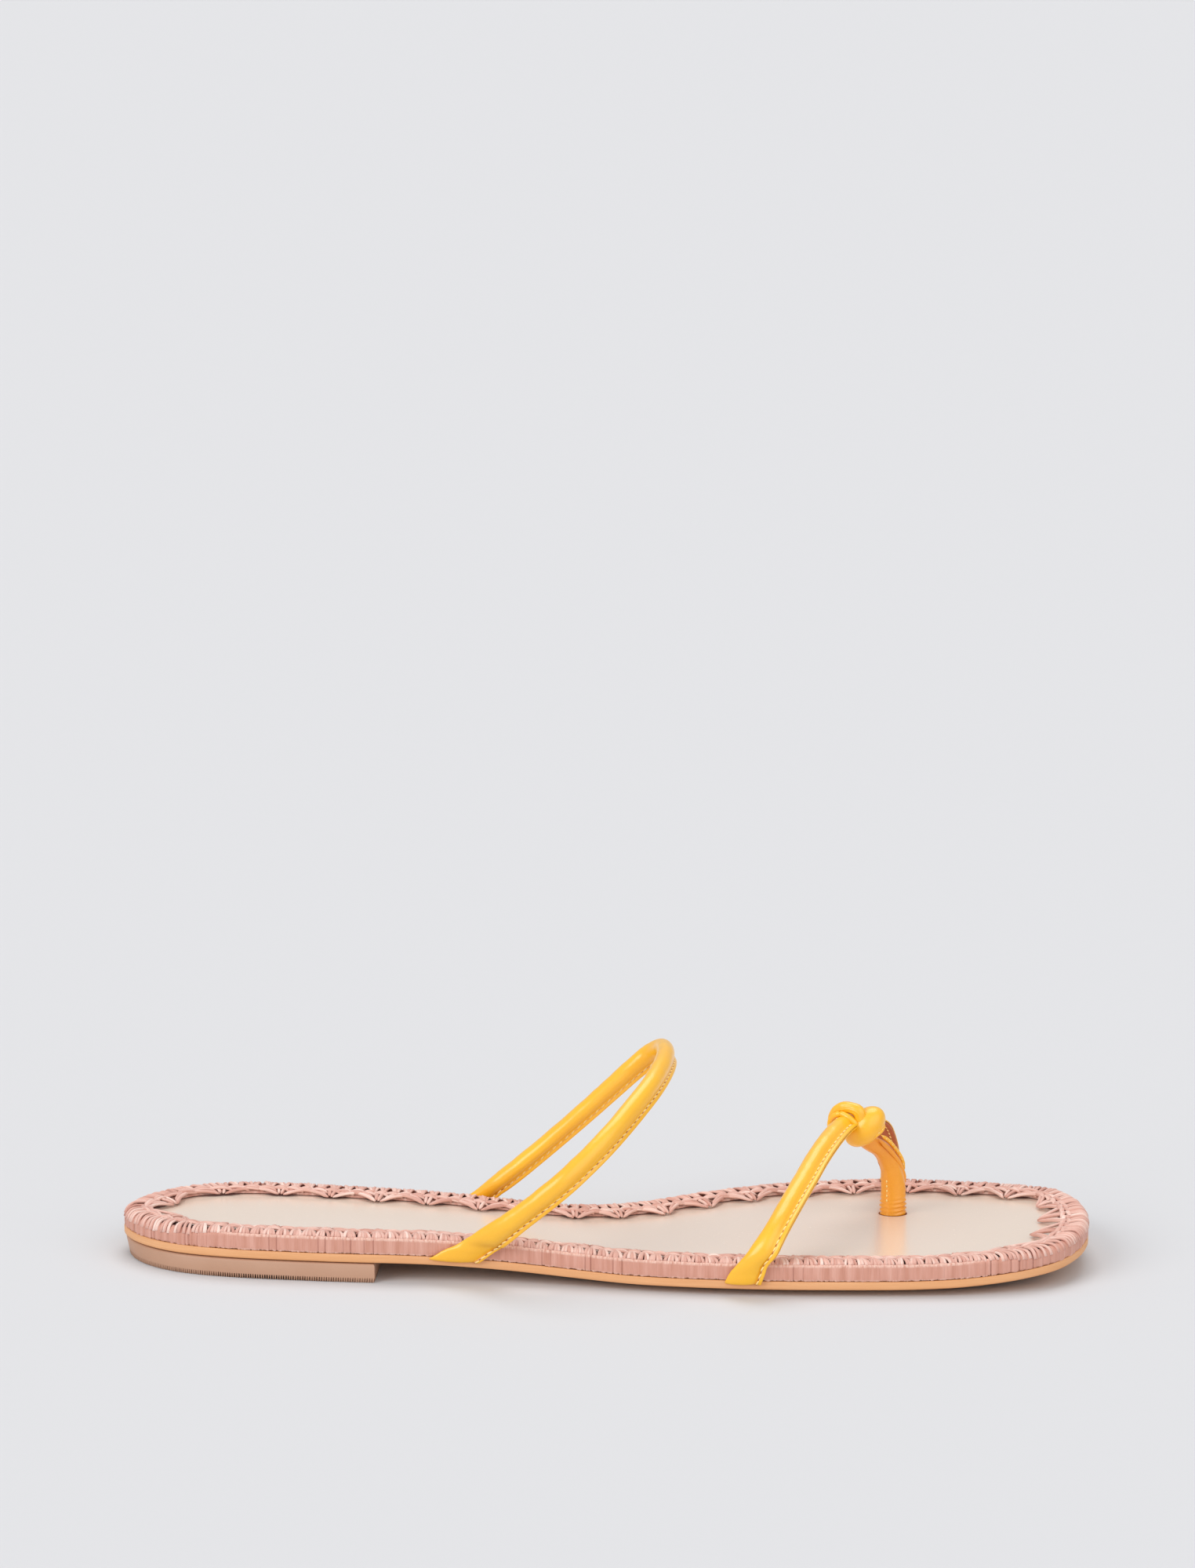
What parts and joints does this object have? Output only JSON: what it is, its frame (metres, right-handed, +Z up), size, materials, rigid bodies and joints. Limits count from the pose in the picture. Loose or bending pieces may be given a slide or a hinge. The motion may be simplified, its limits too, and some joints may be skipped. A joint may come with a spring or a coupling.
{
  "type": "flat toe-post sandal",
  "caption": "Flat right-foot toe-post sandal with tubular leather straps, a knotted toe strap, a raffia-wrapped insole edge and a low heel block.",
  "frame": {"origin": "middle of the heel block's resting face, on the floor", "axes": "+X from heel to toe, +Y to the inner side of the foot, +Z up"},
  "size_m": [0.2505, 0.0953, 0.054],
  "materials": {
    "heel": "satin, moulded, rosy tan",
    "outsole": "smooth cut edge, natural tan",
    "insole": "satin, nude",
    "raffia": "matt straw fibre, dusty pink",
    "strap": "polished, mango yellow"
  },
  "bodies": {
    "root": {"heel": "heel", "outsole": "outsole", "insole": "insole", "raffia_edge": "raffia", "instep_strap": "strap", "toe_strap": "strap"}
  },
  "joints": []
}
